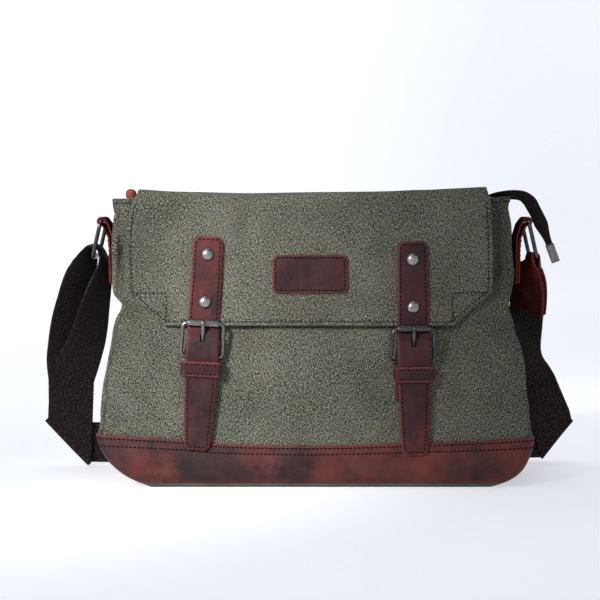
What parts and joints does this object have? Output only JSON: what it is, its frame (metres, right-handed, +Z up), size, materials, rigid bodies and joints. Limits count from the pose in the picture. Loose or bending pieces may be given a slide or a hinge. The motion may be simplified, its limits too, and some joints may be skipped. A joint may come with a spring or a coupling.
{
  "type": "messenger bag",
  "caption": "Canvas messenger bag with a buckled fold-over flap, leather base and trim, zipped top and a webbing shoulder strap on swinging side rings.",
  "frame": {"origin": "centre of the flat base, on the surface the bag stands on", "axes": "+X along the bag's width, to the right as seen from the front; +Y from the front to the back; +Z up"},
  "size_m": [0.4927, 0.1454, 0.2541],
  "materials": {
    "canvas": "stonewashed heathered canvas",
    "lining": "plain woven cotton",
    "webbing": "ribbed polyester-cotton webbing",
    "leather": "waxed pull-up leather",
    "hardware": "aged nickel",
    "zip_metal": "gunmetal",
    "board": "matt stiffener board"
  },
  "bodies": {
    "bag": {"front_panel": "canvas", "back_panel": "canvas", "left_gusset": "canvas", "right_gusset": "canvas", "bottom_panel": "canvas", "base_board": "board", "base_band_front": "leather", "base_band_back": "leather", "base_band_left": "leather", "base_band_right": "leather", "lining": "lining", "flap_seam_strip": "canvas", "zip_facing_front": "canvas", "zip_facing_back": "canvas", "zip_tape_front": "webbing", "zip_tape_back": "webbing", "zip_chain": "zip_metal", "zip_tail": "webbing", "zip_tail_clamp": "hardware", "left_side_tab": "leather", "right_side_tab": "leather", "left_snap_socket": "hardware", "right_snap_socket": "hardware", "strap_webbing": "webbing", "strap_end_tab": "leather"},
    "flap_top": {"flap_top_panel": "canvas"},
    "flap_front": {"flap_front_panel": "canvas", "name_patch": "leather", "left_strap": "leather", "left_rivet_upper": "hardware", "left_rivet_lower": "hardware", "left_anchor_tab": "leather", "left_keeper": "leather", "left_snap_stud": "hardware", "right_strap": "leather", "right_rivet_upper": "hardware", "right_rivet_lower": "hardware", "right_anchor_tab": "leather", "right_keeper": "leather", "right_snap_stud": "hardware"},
    "left_buckle": {"left_buckle_frame": "hardware"},
    "left_roller": {"left_buckle_roller": "hardware"},
    "left_prong": {"left_buckle_prong": "hardware"},
    "left_ring": {"left_ring": "hardware"},
    "right_buckle": {"right_buckle_frame": "hardware"},
    "right_roller": {"right_buckle_roller": "hardware"},
    "right_prong": {"right_buckle_prong": "hardware"},
    "right_ring": {"right_ring": "hardware"},
    "zip_slider": {"zip_slider": "zip_metal"},
    "zip_pull": {"zip_pull": "leather"},
    "adjuster": {"strap_adjuster": "hardware"}
  },
  "joints": [
    {"name": "flap_hinge", "type": "hinge", "parent": "bag", "child": "flap_top", "pos_m": [0, 0.0352, 0.2528], "axis": [-1, 0, 0], "range_deg": [0, 200]},
    {"name": "flap_fold", "type": "hinge", "parent": "flap_top", "child": "flap_front", "pos_m": [0, -0.03449, 0.2528], "axis": [-1, 0, 0], "range_deg": [0, 95]},
    {"name": "left_buckle_tilt", "type": "hinge", "parent": "flap_front", "child": "left_buckle", "pos_m": [-0.0965, -0.04745, 0.11211], "axis": [0.9985, -0.0039, -0.0539], "range_deg": [0, 6]},
    {"name": "left_prong_swing", "type": "hinge", "parent": "left_buckle", "child": "left_prong", "pos_m": [-0.0965, -0.04745, 0.11211], "axis": [0.9985, -0.0039, -0.0539], "range_deg": [0, 7]},
    {"name": "left_roller_spin", "type": "hinge", "parent": "left_buckle", "child": "left_roller", "pos_m": [-0.09496, -0.04877, 0.14064], "axis": [0.9985, -0.0039, -0.0539], "continuous": true},
    {"name": "right_buckle_tilt", "type": "hinge", "parent": "flap_front", "child": "right_buckle", "pos_m": [0.0845, -0.04778, 0.10752], "axis": [0.9999, 0.0008, 0.0104], "range_deg": [0, 6]},
    {"name": "right_prong_swing", "type": "hinge", "parent": "right_buckle", "child": "right_prong", "pos_m": [0.0845, -0.04778, 0.10752], "axis": [0.9999, 0.0008, 0.0104], "range_deg": [0, 7]},
    {"name": "right_roller_spin", "type": "hinge", "parent": "right_buckle", "child": "right_roller", "pos_m": [0.0842, -0.04911, 0.13609], "axis": [0.9999, 0.0008, 0.0104], "continuous": true},
    {"name": "left_ring_swing", "type": "hinge", "parent": "bag", "child": "left_ring", "pos_m": [-0.1855, 0, 0.227], "axis": [0, 1, 0], "range_deg": [-8, 24], "deforming": ["strap_webbing"]},
    {"name": "right_ring_swing", "type": "hinge", "parent": "bag", "child": "right_ring", "pos_m": [0.1855, 0, 0.227], "axis": [0, -1, 0], "range_deg": [-8, 15], "deforming": ["strap_webbing", "strap_end_tab"]},
    {"name": "zip_slide", "type": "slide", "parent": "bag", "child": "zip_slider", "axis": [1, 0, 0], "range_m": [0, 0.274], "deforming": ["zip_chain", "zip_tape_front", "zip_tape_back"]},
    {"name": "zip_pull_swing", "type": "hinge", "parent": "zip_slider", "child": "zip_pull", "pos_m": [-0.158, 0, 0.2414], "axis": [0, 1, 0], "range_deg": [-70, 70]},
    {"name": "adjuster_slide", "type": "slide", "parent": "bag", "child": "adjuster", "axis": [1, 0, 0], "range_m": [-0.025, 0.025], "deforming": ["strap_webbing"]}
  ]
}
